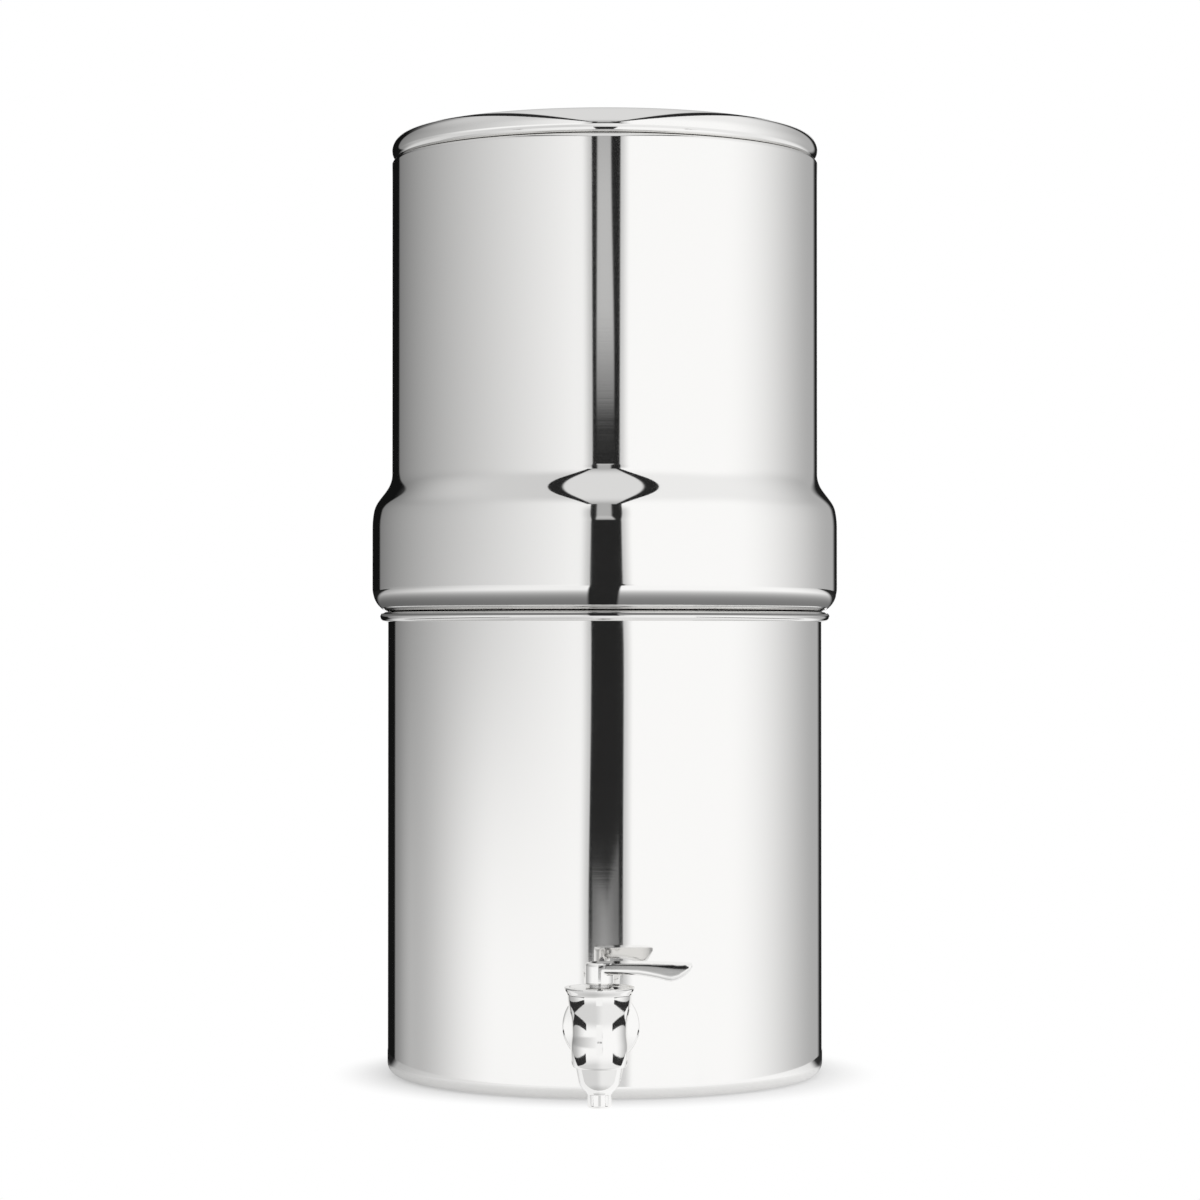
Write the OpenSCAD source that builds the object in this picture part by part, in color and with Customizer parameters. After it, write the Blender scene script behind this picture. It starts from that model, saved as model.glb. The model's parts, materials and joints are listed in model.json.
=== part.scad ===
// Gravity water filter with a quarter-turn tap.
// Two drawn steel chambers stand one in the other under a loose lid. Water poured into the
// upper chamber seeps through two filter elements into the lower one, which the tap empties.
// Origin: middle of the base, on the table. +Z is up and the tap faces -Y.

/* [Lower chamber] */
// Outer radius of the lower chamber
body_r = 108; // [90:1:130]
// Height of the lower chamber to the top of its rolled rim
lower_h = 228.7; // [180:0.1:300]
// Sheet thickness of both chambers and the lid
wall = 1; // [0.7:0.1:1.3]
// Radius of the corner round the base
base_corner_r = 6; // [4:0.5:10]
// Width of the flat ring that the vessel stands on
foot_ring_w = 14; // [8:1:24]
// Height of the raised middle of the base
base_rise = 3; // [1.5:0.5:6]
// Radius of the rolled bead on the rim
bead_r = 2.4; // [2:0.1:3]

/* [Upper chamber] */
// Height of the upper chamber's rim above the lower chamber's rim
upper_h = 224.4; // [170:0.1:300]
// How much smaller the upper wall's radius is than the lower one's
upper_in = 2; // [1:0.5:6]
// How far the bulge stands out past the lower chamber
bulge_out = 7.8; // [6:0.1:10]
// Radius under the bulge, where it sits on the bead
bulge_corner_r = 13; // [11:0.5:15]
// Height of the upright part of the bulge
bulge_h = 30.2; // [15:0.1:60]
// Lean of the shoulder above the bulge, from upright
shoulder_lean = 36; // [25:1:45]
// Radius where the bulge starts to turn in
shoulder_start_r = 40; // [20:1:50]
// Lean at which the tighter turn begins
shoulder_start_lean = 11; // [5:1:15]
// Radius of the tighter turn of the shoulder
shoulder_turn_r = 14; // [8:1:16]
// Radius at the foot of the upper wall
shoulder_foot_r = 13; // [6:1:16]
// Depth that the upper chamber reaches into the lower one
nest_depth = 12.5; // [10:0.5:30]
// Room all round between the nested step and the lower wall
nest_gap = 1.5; // [1:0.1:2.5]
// Radius of the safe edge rolled into the upper rim
curl_r = 2; // [1.6:0.1:2.5]

/* [Lid] */
// Radius of the turn from the lid's edge to its crown
lid_shoulder_r = 8; // [5:0.5:14]
// Radius of the edge rolled under the lid
lid_edge_r = 5; // [4:0.1:6.5]
// Radius of the shallow crown
crown_r = 1600; // [700:50:3000]
// Depth of the ring that centres the lid in the mouth
lid_ring_h = 9; // [5:0.5:20]
// Sheet thickness of that ring
lid_ring_t = 1; // [0.8:0.1:1.5]

/* [Filter elements] */
// Radius of the carbon block
block_r = 35; // [20:0.5:36]
// Radius of the hollow in the block
block_core_r = 12; // [6:0.5:14]
// Room between the end caps and the chamber wall
element_edge_gap = 12.5; // [6:0.5:16]
// Room between the elements and the lid's ring
element_head_gap = 22; // [10:1:60]
// Radius of the threaded stems through the floor
stem_r = 6; // [5:0.5:8]
// Length of thread below the floor
stem_drop = 24; // [18:1:34]

/* [Tap] */
// Height of the tap's shank above the table
tap_z = 35; // [34:1:60]
// Distance from the vessel wall to the tap's axis
tap_reach = 40; // [36:1:60]
// Radius of the flange against the vessel
flange_r = 18; // [16:0.5:24]
// Radius of the threaded shank
shank_r = 8; // [7:0.5:10]
// Radius of the neck between flange and barrel
neck_r = 10; // [9:0.5:11.5]
// Radius of the waterway
water_r = 4; // [2.5:0.1:4.8]
// Radius of the lip round the top of the barrel
barrel_lip_r = 16.1; // [15.8:0.1:20]
// Radius of the barrel's waist
barrel_waist_r = 12.6; // [11.8:0.1:14]
// Radius of the turned plug inside the valve
plug_r = 8.2; // [7.8:0.1:8.8]
// Radius of the spout tube
spout_r = 5.7; // [5.3:0.1:6.3]
// Length of the lever from the tap's axis
lever_len = 42.4; // [34:0.2:60]
// Height of the lever's hub
hub_h = 10; // [8:0.5:14]
// Radius of the lever's hub
hub_r = 6.5; // [6.25:0.25:9]

/* [Hidden] */
$fn = 96;

// clearances
seat_gap = 0.3;     // between pieces that only rest on each other
slip_gap = 0.1;     // round a turning fit
thread_gap = 0.1;   // round a thread
seal_gap = 0.1;     // beside a soft seal
hole_gap = 0.5;     // round a stem or shank in sheet metal
cut = 1;            // overrun of a cutting shape

// levels and radii of the vessel
inner_r = body_r - wall;
upper_r = body_r - upper_in;
bulge_r = body_r + bulge_out;
bead_c = [inner_r + bead_r, lower_h - bead_r];
bulge_c_r = bulge_r - bulge_corner_r;
bulge_c = [bulge_c_r,
           bead_c[1] + sqrt(pow(bulge_corner_r + bead_r + seat_gap, 2) - pow(bead_c[0] - bulge_c_r, 2))];
nest_r = inner_r - nest_gap;
nest_fillet_r = 1.5;
nest_corner_r = 4;
nest_f_r = nest_r + nest_fillet_r;
nest_f = [nest_f_r,
          bulge_c[1] - sqrt(pow(bulge_corner_r + nest_fillet_r, 2) - pow(nest_f_r - bulge_c_r, 2))];
nest_turn = atan2(bulge_c[1] - nest_f[1], bulge_c[0] - nest_f[0]);
floor_z = lower_h - nest_depth;
floor_top = floor_z + wall;
rim_z = lower_h + upper_h;
curl_c = [upper_r - curl_r, rim_z - curl_r];
mouth_r = upper_r - 2 * curl_r;

// shoulder of the upper chamber: two turns in, a straight lean and a hollow turn back
turn1_c = [bulge_r - shoulder_start_r, bulge_c[1] + bulge_h];
turn2_c = turn1_c + (shoulder_start_r - shoulder_turn_r)
          * [cos(shoulder_start_lean), sin(shoulder_start_lean)];
lean_dir = [cos(shoulder_lean), sin(shoulder_lean)];
lean_start = turn2_c + shoulder_turn_r * lean_dir;
lean_end_r = upper_r + shoulder_foot_r * (1 - cos(shoulder_lean));
lean_end_z = lean_start[1] + (lean_start[0] - lean_end_r) / tan(shoulder_lean);
foot_c = [upper_r + shoulder_foot_r, lean_end_z + shoulder_foot_r * sin(shoulder_lean)];

// lid
lid_r = upper_r;
lid_lip_r = lid_r - lid_edge_r;
lid_mid_z = curl_c[1] + sqrt(pow(curl_r + lid_edge_r + seat_gap, 2) - pow(curl_c[0] - lid_lip_r, 2));
lid_turn_c = [lid_r - lid_shoulder_r, lid_mid_z];
crown_half = asin(lid_turn_c[0] / (crown_r - lid_shoulder_r));
crown_c = [0, lid_mid_z - (crown_r - lid_shoulder_r) * cos(crown_half)];
lid_ring_r = min(mouth_r - 1, lid_lip_r - seat_gap);
lid_ring_flange = 1.5;
lid_flange_r = lid_ring_r + lid_ring_flange;
lid_flange_z = lid_mid_z + slip_gap
               - sqrt(pow(lid_edge_r - wall, 2) - pow(lid_flange_r - lid_lip_r, 2));

// filter elements and the plugs of the spare holes
cap_over = 1;       // end caps past the block
cap_h = 8;
base_h = 14;
cap_lap = 4;        // depth that the block sits in its caps
washer_t = 2.5;
washer_r = 14;
stem_bore_r = stem_r - 2.8;
element_pitch = nest_r - wall - block_r - cap_over - element_edge_gap;
base_z = floor_top + washer_t;
element_top = rim_z - lid_ring_h - element_head_gap;
block_z = base_z + base_h - cap_lap;
block_h = element_top - cap_h + cap_lap - block_z;
nut_h = 9;
plug_head_h = 5;

// tap, measured from its own axis at the height of its shank
barrel_top = 22;
barrel_bottom = -14.7;
barrel_low_r = barrel_waist_r + 0.55;
barrel_foot_r = barrel_low_r - 2.15;   // where the bottom corner begins
barrel_corner_r = 1.6;
barrel_corner_turn = 78;
chamber_r = plug_r + slip_gap;
chamber_bottom = -8;
chamber_top = 13.5;
bonnet_r = barrel_lip_r - 2.4;
bonnet_t = 2.5;
bonnet_thread_r = chamber_r + 2.6;
bonnet_crown = 0.5;
nozzle_r = barrel_foot_r - 0.1;
nozzle_thread_r = 6.5;
nozzle_step = -9.5;
spout_bore_r = water_r - 0.2;
spout_tip = -32.9;
plug_bottom = chamber_bottom + seat_gap;
plug_top = chamber_top - seat_gap;
stem_top = barrel_top + bonnet_crown + 7.5;
valve_stem_r = 4.5;
oring_r = 0.85;
oring_groove = 2 * oring_r + seal_gap;
oring_levels = [-6.2, 6.8];
stem_oring_level = 16.5;
seal_r = water_r + 1.8;
seal_back = chamber_r + 3;
gasket_t = 2;
gasket_r = flange_r - 1.5;
inner_gasket_t = 3.5;
inner_gasket_r = 14;
flange_t = 2.5;
flange_back = tap_reach - gasket_t;
nut_af = 2 * shank_r + 8;
nut_t = 7;
shank_end = tap_reach + wall + inner_gasket_t + nut_t + 7.5;
nut_front = tap_reach + wall + inner_gasket_t;

// lever, measured the same way
hub_bottom = barrel_top + bonnet_crown + 0.7;
hub_top = hub_bottom + hub_h;
lever_edge_r = 1.4;
// Stations of the grip, from the bend where it begins to the tip: share of the lever's
// length, then depth of its underside and fall of its top, both below the hub's top, then
// half its width.
grip_stations = [[0.42, 5.4, 0, 6.2],
                 [0.77, 8.3, 0.3, 7.2],
                 [0.905, 5.6, 0.5, 7.2],
                 [0.967, 3.5, 0.6, 6.9]];
grub_r = 2;
grub_level = hub_bottom + 3.4;
stem_flat = 4.2;

steel = "silver";
rubber = "dimgray";
plastic = "#2b2b2d";
carbon = "#1d1d1f";

function reverse(p) = [for (i = [len(p) - 1:-1:0]) p[i]];
function arc(c, r, a0, a1, n = 10) =
    [for (i = [0:n]) let (a = a0 + (a1 - a0) * i / n) c + r * [cos(a), sin(a)]];
function bezier(p0, p1, p2, p3, n = 14) =
    [for (i = [0:n]) let (t = i / n, s = 1 - t)
        s * s * s * p0 + 3 * s * s * t * p1 + 3 * s * t * t * p2 + t * t * t * p3];

// ---- vessel ----

// A side of the sheet, from the axis out and up; inset 0 is the outside and wall the inside.
function lower_side(inset) = concat(
    [[0, base_rise + inset],
     [body_r - base_corner_r - foot_ring_w - base_rise, base_rise + inset],
     [body_r - base_corner_r - foot_ring_w, inset]],
    arc([body_r - base_corner_r, base_corner_r], base_corner_r - inset, -90, 0),
    [[body_r - inset, bead_c[1]]]);

module lower_chamber() {
    color(steel)
    difference() {
        rotate_extrude()
            polygon(concat(lower_side(0),
                           arc(bead_c, bead_r - wall, 180, -100, 10),
                           arc(bead_c, bead_r, -100, 180, 10),
                           reverse(lower_side(wall))));
        at_tap() along_shank(tap_reach - 5, tap_reach + 10) circle(r = shank_r + hole_gap);
    }
}

function upper_side(inset) = concat(
    [[0, floor_z + inset]],
    arc([nest_r - nest_corner_r, floor_z + nest_corner_r], nest_corner_r - inset, -90, 0, 4),
    arc(nest_f, nest_fillet_r + inset, 180, nest_turn, 4),
    arc(bulge_c, bulge_corner_r - inset, nest_turn - 180, 0, 8),
    arc(turn1_c, shoulder_start_r - inset, 0, shoulder_start_lean, 3),
    arc(turn2_c, shoulder_turn_r - inset, shoulder_start_lean, shoulder_lean, 4),
    arc(foot_c, shoulder_foot_r + inset, 180 + shoulder_lean, 180, 5),
    [[upper_r - inset, curl_c[1]]]);

module upper_chamber() {
    color(steel)
    difference() {
        rotate_extrude()
            polygon(concat(upper_side(0),
                           arc(curl_c, curl_r, 0, 260, 10),
                           arc(curl_c, curl_r - wall, 260, 0, 10),
                           reverse(upper_side(wall))));
        for (a = [0:90:270]) rotate(a) translate([element_pitch, 0, floor_z - cut])
            cylinder(r = stem_r + hole_gap, h = wall + 2 * cut);
    }
}

function lid_side(inset) = concat(
    arc(crown_c, crown_r - inset, 90, 90 - crown_half, 8),
    arc(lid_turn_c, lid_shoulder_r - inset, 90 - crown_half, 0, 10),
    arc([lid_lip_r, lid_mid_z], lid_edge_r - inset, 0, -90, 10));

module lid_cover() {
    color(steel) rotate_extrude() polygon(concat(lid_side(0), reverse(lid_side(wall))));
}

// Ring whose top flange is trapped in the lid's rolled edge; its skirt drops into the mouth.
module lid_ring() {
    color(steel) rotate_extrude()
        polygon([[lid_ring_r - lid_ring_t, rim_z - lid_ring_h],
                 [lid_ring_r, rim_z - lid_ring_h],
                 [lid_ring_r, lid_flange_z],
                 [lid_flange_r, lid_flange_z],
                 [lid_flange_r, lid_flange_z + lid_ring_t],
                 [lid_ring_r - lid_ring_t, lid_flange_z + lid_ring_t]]);
}

// ---- filter elements, one on each side of the axis ----

module at_element(side) {
    translate([side * element_pitch, 0, 0]) children();
}

module filter_block(side) {
    color(carbon) at_element(side) translate([0, 0, block_z]) difference() {
        cylinder(r = block_r, h = block_h);
        translate([0, 0, -cut]) cylinder(r = block_core_r, h = block_h - block_core_r);
        translate([0, 0, block_h - block_core_r - cut]) sphere(r = block_core_r);
    }
}

module filter_cap(side) {
    color(plastic) at_element(side) translate([0, 0, element_top]) rotate_extrude()
        polygon(concat([[0, cap_lap - cap_h]],
                       [[block_r + slip_gap, cap_lap - cap_h]],
                       [[block_r + slip_gap, -cap_h]],
                       [[block_r + cap_over, -cap_h]],
                       arc([block_r + cap_over - 3, -3], 3, 0, 90, 6),
                       [[0, 0]]));
}

// Base cup with its hollow threaded stem, which passes down through the chamber floor.
module filter_base(side) {
    color(plastic) at_element(side) translate([0, 0, base_z]) difference() {
        rotate_extrude()
            polygon(concat([[stem_bore_r, -washer_t - wall - stem_drop],
                            [stem_r - 0.8, -washer_t - wall - stem_drop],
                            [stem_r, -washer_t - wall - stem_drop + 0.8],
                            [stem_r, 0]],
                           [[block_r - 12, 0]],
                           arc([block_r + cap_over - 4, 4 + 3], 4, -60, 0, 6),
                           [[block_r + cap_over, base_h],
                            [block_r + slip_gap, base_h],
                            [block_r + slip_gap, base_h - cap_lap],
                            [stem_bore_r, base_h - cap_lap]]));
        translate([0, 0, base_h - cap_lap - 2]) cylinder(r = block_core_r - 2, h = 2 + cut);
    }
}

module washer(outer, inner, t) {
    difference() {
        cylinder(r = outer, h = t);
        translate([0, 0, -cut]) cylinder(r = inner, h = t + 2 * cut);
    }
}

module filter_washers() {
    color(rubber) for (side = [-1, 1]) at_element(side) translate([0, 0, floor_top])
        washer(washer_r, stem_r + slip_gap, washer_t);
}

// Wing nut: a round flanged hub with two upright wings.
module wing_nut() {
    wing_t = 3;
    wing_reach = 19;
    difference() {
        union() {
            translate([0, 0, -2.5]) cylinder(r = stem_r + 7, h = 2.5);
            translate([0, 0, -nut_h]) cylinder(r1 = stem_r + 3, r2 = stem_r + 4.5, h = nut_h);
            for (a = [0, 180]) rotate(a) rotate([90, 0, 0]) translate([0, 0, -wing_t / 2])
                linear_extrude(wing_t)
                    difference() {
                        translate([stem_r + 1, -15]) square([wing_reach - stem_r - 1, 14]);
                        translate([wing_reach - 5, -6]) difference() {
                            square([6, 6]);
                            circle(r = 5);
                        }
                        translate([stem_r + 1, -15 - cut]) square([stem_r - 2, 4.5 + cut]);
                    }
        }
        translate([0, 0, -nut_h - 8]) cylinder(r = stem_r + thread_gap, h = nut_h + 8 + cut);
    }
}

module filter_wing_nuts() {
    color(plastic) for (side = [-1, 1]) at_element(side)
        translate([0, 0, floor_z]) wing_nut();
}

// ---- plugs in the two spare holes, front and back ----

module at_spare_holes() {
    for (a = [90, 270]) rotate(a) translate([element_pitch, 0, 0]) children();
}

module hole_plugs() {
    color(plastic) at_spare_holes() translate([0, 0, floor_top + washer_t]) rotate_extrude()
        polygon(concat([[0, -washer_t - wall - 16],
                        [stem_r - 0.8, -washer_t - wall - 16],
                        [stem_r, -washer_t - wall - 15.2],
                        [stem_r, 0],
                        [washer_r, 0]],
                       arc([washer_r - 2, plug_head_h - 2], 2, 0, 90, 5),
                       [[0, plug_head_h]]));
}

module plug_washers() {
    color(rubber) at_spare_holes() translate([0, 0, floor_top])
        washer(washer_r, stem_r + slip_gap, washer_t);
}

module plug_nuts() {
    color(plastic) at_spare_holes() translate([0, 0, floor_z - 7]) difference() {
        cylinder(r = stem_r + 6, h = 7, $fn = 6);
        translate([0, 0, -cut]) cylinder(r = stem_r + thread_gap, h = 7 + 2 * cut);
    }
}

// ---- tap ----

module at_tap() {
    translate([0, -body_r - tap_reach, tap_z]) children();
}

// Extrudes a flat shape along the shank, from one distance behind the tap's axis to another.
module along_shank(from, to) {
    translate([0, from, 0]) rotate([-90, 0, 0]) linear_extrude(to - from) children();
}

// Turned outside of the barrel, from its bottom face to its top one.
function barrel_side() =
    let (corner = arc([barrel_foot_r, barrel_bottom + barrel_corner_r],
                      barrel_corner_r, -90, barrel_corner_turn - 90, 5),
         foot = corner[len(corner) - 1],
         flare_r = barrel_waist_r + 1,
         throat_r = barrel_waist_r + 2.1)
    concat(
        [[0, barrel_bottom]],
        corner,
        bezier(foot, foot + [0.37, 1.77], [barrel_low_r, -8], [barrel_low_r, -5], 6),
        bezier([barrel_low_r, -5], [barrel_low_r, -2.8],
               [barrel_waist_r, -1.2], [barrel_waist_r, 1], 6),
        bezier([barrel_waist_r, 1], [barrel_waist_r, 4.5],
               [flare_r - 0.74, 7.5], [flare_r, 10.7], 7),
        bezier([flare_r, 10.7], [flare_r + 0.69, 13.7],
               [throat_r - 0.05, 16], [throat_r, 18.4], 7),
        bezier([throat_r, 18.4], [throat_r + 0.05, 19.3],
               [barrel_lip_r - 0.2, 20.2], [barrel_lip_r, barrel_top - 0.4], 6),
        arc([barrel_lip_r - 0.4, barrel_top - 0.4], 0.4, 0, 90, 4),
        [[0, barrel_top]]);

// Neck, flange and shank, turned about the shank's axis.
function shank_side() = concat(
    [[0, 0], [neck_r, 0], [neck_r, flange_back - flange_t - 3]],
    arc([neck_r + 3, flange_back - flange_t - 3], 3, 180, 100, 6),
    arc([flange_r - 1.2, flange_back - 1.2], 1.2, -80, 0, 5),
    [[flange_r, flange_back],
     [shank_r, flange_back],
     [shank_r, shank_end - 1],
     [shank_r - 1, shank_end],
     [0, shank_end]]);

module tap_body() {
    color(steel) at_tap() difference() {
        union() {
            rotate_extrude() polygon(barrel_side());
            rotate([-90, 0, 0]) rotate_extrude() polygon(shank_side());
        }
        translate([0, 0, chamber_bottom]) cylinder(r = chamber_r, h = barrel_top);
        translate([0, 0, chamber_top])
            cylinder(r = bonnet_thread_r + thread_gap, h = barrel_top);
        translate([0, 0, barrel_top - bonnet_t])
            cylinder(r = bonnet_r + slip_gap, h = bonnet_t + cut);
        translate([0, 0, nozzle_step - cut]) cylinder(r = water_r, h = cut - nozzle_step);
        translate([0, 0, barrel_bottom - cut])
            cylinder(r = nozzle_thread_r + thread_gap, h = nozzle_step - barrel_bottom + cut);
        along_shank(0, seal_back) circle(r = seal_r + seal_gap);
        along_shank(0, shank_end + cut) circle(r = water_r);
    }
}

// Screwed bonnet that holds the plug down; its crowned top closes the barrel.
module tap_bonnet() {
    color(steel) at_tap() rotate_extrude()
        polygon([[valve_stem_r + slip_gap, chamber_top],
                 [bonnet_thread_r, chamber_top],
                 [bonnet_thread_r, barrel_top - bonnet_t],
                 [bonnet_r, barrel_top - bonnet_t],
                 [bonnet_r, barrel_top - 0.3],
                 [bonnet_r - 0.3, barrel_top],
                 [valve_stem_r + slip_gap, barrel_top + bonnet_crown]]);
}

// Domed nozzle: a tapered shoulder, a round turn and the spout tube, bored right through.
module tap_nozzle() {
    taper = 12.6;
    taper_h = 5.8;
    dome_r = 8.5;
    taper_end = [nozzle_r - taper_h * tan(taper), barrel_bottom - taper_h];
    dome_c = taper_end - dome_r * [cos(taper), -sin(taper)];
    dome_end = acos((spout_r + 0.5 - dome_c[0]) / dome_r);
    groove_z = (nozzle_step + barrel_bottom) / 2;
    color(steel) at_tap() difference() {
        rotate_extrude()
            polygon(concat([[spout_bore_r, nozzle_step - 0.2],
                            [nozzle_thread_r - 0.5, nozzle_step - 0.2],
                            [nozzle_thread_r, nozzle_step - 0.7],
                            [nozzle_thread_r, barrel_bottom],
                            [nozzle_r, barrel_bottom]],
                           arc(dome_c, dome_r, -taper, -dome_end, 12),
                           [[spout_r, dome_c[1] - dome_r * sin(dome_end) - 1]],
                           arc([spout_r - 1.2, spout_tip + 1.2], 1.2, 0, -90, 5),
                           [[spout_bore_r, spout_tip]]));
        translate([0, 0, groove_z - 0.9])
            washer(nozzle_thread_r + 1, nozzle_thread_r - 1.4, 1.8);
    }
}

module ring_seal(ring_r, section_r) {
    rotate_extrude() translate([ring_r, 0]) circle(r = section_r, $fn = 32);
}

module nozzle_oring() {
    section_r = 0.65;
    color(rubber) at_tap() translate([0, 0, (nozzle_step + barrel_bottom) / 2])
        ring_seal(nozzle_thread_r - 0.7, section_r);
}

// The gaskets are flat toward the flange and the nut, and follow the wall's curve.
module outer_gasket() {
    color(rubber) difference() {
        at_tap() along_shank(flange_back, tap_reach + 8) difference() {
            circle(r = gasket_r);
            circle(r = shank_r + slip_gap);
        }
        cylinder(r = body_r + seal_gap, h = 2 * tap_z, $fn = 720);
    }
}

module inner_gasket() {
    color(rubber) intersection() {
        at_tap() along_shank(tap_reach - 5, nut_front) difference() {
            circle(r = inner_gasket_r);
            circle(r = shank_r + slip_gap);
        }
        cylinder(r = inner_r - seal_gap, h = 2 * tap_z, $fn = 720);
    }
}

module lock_nut() {
    corner_r = nut_af / 2 / cos(30);
    color(steel) at_tap() difference() {
        intersection() {
            along_shank(nut_front, nut_front + nut_t) circle(r = corner_r, $fn = 6);
            translate([0, nut_front + nut_t, 0]) rotate([90, 0, 0])
                cylinder(r1 = nut_af / 2, r2 = nut_af / 2 + 2 * nut_t, h = nut_t);
        }
        along_shank(nut_front - cut, nut_front + nut_t + cut)
            circle(r = shank_r + thread_gap);
    }
}

// Plug with an L-shaped waterway: in from one side and down through the bottom.
module valve_plug() {
    color("gainsboro") at_tap() difference() {
        union() {
            translate([0, 0, plug_bottom]) cylinder(r = plug_r, h = plug_top - plug_bottom);
            cylinder(r = valve_stem_r, h = stem_top);
        }
        translate([0, 0, plug_bottom - cut]) cylinder(r = water_r, h = cut - plug_bottom);
        rotate([0, -90, 0]) cylinder(r = water_r, h = plug_r + cut);
        for (level = oring_levels) translate([0, 0, level - oring_groove / 2])
            washer(plug_r + cut, plug_r - oring_groove, oring_groove);
        translate([0, 0, stem_oring_level - oring_groove / 2])
            washer(valve_stem_r + cut, valve_stem_r - oring_groove, oring_groove);
        translate([-valve_stem_r, stem_flat, hub_bottom + 0.5])
            cube([2 * valve_stem_r, valve_stem_r, hub_h]);
    }
}

module valve_orings() {
    color(rubber) at_tap() {
        for (level = oring_levels) translate([0, 0, level])
            ring_seal(plug_r - oring_r, oring_r);
        translate([0, 0, stem_oring_level]) ring_seal(valve_stem_r - oring_r, oring_r);
    }
}

// Seal ring of the inlet, hollowed to the plug's curve.
module inlet_seal() {
    color(rubber) at_tap() difference() {
        along_shank(plug_r / 2, seal_back - seal_gap) difference() {
            circle(r = seal_r);
            circle(r = water_r);
        }
        translate([0, 0, plug_bottom]) cylinder(r = plug_r + seal_gap, h = plug_top - plug_bottom);
    }
}

// ---- lever ----

// Section of the arm: a flat bar with round edges, lying between two levels.
module arm_section(half, low, high) {
    translate([-low, -half - lever_edge_r]) mirror([1, 0])
        square([high - low, 2 * (half + lever_edge_r)]);
    translate([-high - lever_edge_r, -half]) square([high - low + 2 * lever_edge_r, 2 * half]);
    for (y = [-half, half], z = [low, high]) translate([-z, y]) circle(r = lever_edge_r);
}

module grip_corners(station) {
    for (side = [-1, 1], level = [hub_top - station[1] + lever_edge_r,
                                  hub_top - station[2] - lever_edge_r])
        translate([lever_len * station[0], side * (station[3] - lever_edge_r), level])
            sphere(r = lever_edge_r, $fn = 24);
}

// The arm runs level from the hub, then swells into a grip that turns up to its tip.
module lever_arm() {
    bend = grip_stations[0];
    rotate([0, 90, 0]) linear_extrude(lever_len * bend[0])
        arm_section(bend[3] - lever_edge_r, hub_top - bend[1] + lever_edge_r,
                    hub_top - bend[2] - lever_edge_r);
    hull() for (station = grip_stations) grip_corners(station);
}

module lever_handle() {
    color(steel) at_tap() difference() {
        union() {
            rotate_extrude()
                polygon(concat([[0, hub_bottom]],
                               arc([hub_r - 0.6, hub_bottom + 0.6], 0.6, -90, 0, 4),
                               arc([hub_r - lever_edge_r, hub_top - lever_edge_r],
                                   lever_edge_r, 0, 90, 6),
                               [[0, hub_top]]));
            lever_arm();
        }
        translate([0, 0, hub_bottom - cut])
            cylinder(r = valve_stem_r + thread_gap, h = stem_top + seat_gap - hub_bottom + cut);
        translate([0, 0, grub_level]) rotate([-90, 0, 0])
            cylinder(r = grub_r + thread_gap, h = hub_r + cut);
    }
}

module lever_grub_screw() {
    color("gray") at_tap() translate([0, stem_flat + thread_gap, grub_level]) difference() {
        rotate([-90, 0, 0]) cylinder(r = grub_r, h = hub_r - stem_flat - 0.5);
        translate([0, 1, 0]) rotate([-90, 0, 0]) cylinder(r = 1.15, h = hub_r, $fn = 6);
    }
}

lower_chamber();
upper_chamber();
lid_cover();
lid_ring();
filter_block(-1);  // filter_block_left
filter_block(1);  // filter_block_right
filter_cap(-1);  // filter_cap_left
filter_cap(1);  // filter_cap_right
filter_base(-1);  // filter_base_left
filter_base(1);  // filter_base_right
filter_washers();
filter_wing_nuts();
hole_plugs();
plug_washers();
plug_nuts();
tap_body();
tap_bonnet();
tap_nozzle();
nozzle_oring();
outer_gasket();
inner_gasket();
lock_nut();
valve_plug();
valve_orings();
inlet_seal();
lever_handle();
lever_grub_screw();
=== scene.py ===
import json
import math

import bmesh
import bpy
from mathutils import Matrix, Vector
from mathutils.geometry import interpolate_bezier


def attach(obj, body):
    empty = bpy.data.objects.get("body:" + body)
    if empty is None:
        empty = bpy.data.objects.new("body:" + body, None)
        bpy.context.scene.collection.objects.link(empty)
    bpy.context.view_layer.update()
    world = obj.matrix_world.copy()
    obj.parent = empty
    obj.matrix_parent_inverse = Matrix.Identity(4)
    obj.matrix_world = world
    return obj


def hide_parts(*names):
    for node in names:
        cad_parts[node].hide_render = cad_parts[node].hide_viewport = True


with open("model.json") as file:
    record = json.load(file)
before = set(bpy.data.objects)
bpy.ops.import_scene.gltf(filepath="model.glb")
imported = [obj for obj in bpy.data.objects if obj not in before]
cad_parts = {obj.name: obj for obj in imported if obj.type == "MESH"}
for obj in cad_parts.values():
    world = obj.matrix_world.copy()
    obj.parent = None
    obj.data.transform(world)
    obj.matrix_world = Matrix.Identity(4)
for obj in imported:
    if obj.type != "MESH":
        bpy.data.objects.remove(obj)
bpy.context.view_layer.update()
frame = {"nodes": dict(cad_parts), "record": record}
print("frame loaded:", len(frame["nodes"]), "nodes")

scene = bpy.context.scene
mm = 0.001                            # new pieces are drawn in millimetres


cameraView = {
    "distance": 1.7166,               # metres from the vessel's axis
    "azimuth": 0.93,                  # degrees round to the right
    "height": 0.21466,
    "lens": 103.24,
    "sensor": 36,
    "pitch": 0.674,                   # degrees up
    "turn": 1.01,                     # degrees from looking along +Y
}


def addCamera(spec):
    camera = bpy.data.objects.new("camera", bpy.data.cameras.new("camera"))
    camera.data.lens = spec["lens"]
    camera.data.sensor_width = spec["sensor"]
    around = math.radians(spec["azimuth"])
    camera.location = (spec["distance"] * math.sin(around),
                       -spec["distance"] * math.cos(around), spec["height"])
    camera.rotation_euler = (math.radians(90 + spec["pitch"]), 0, math.radians(spec["turn"]))
    scene.collection.objects.link(camera)
    scene.camera = camera


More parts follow.
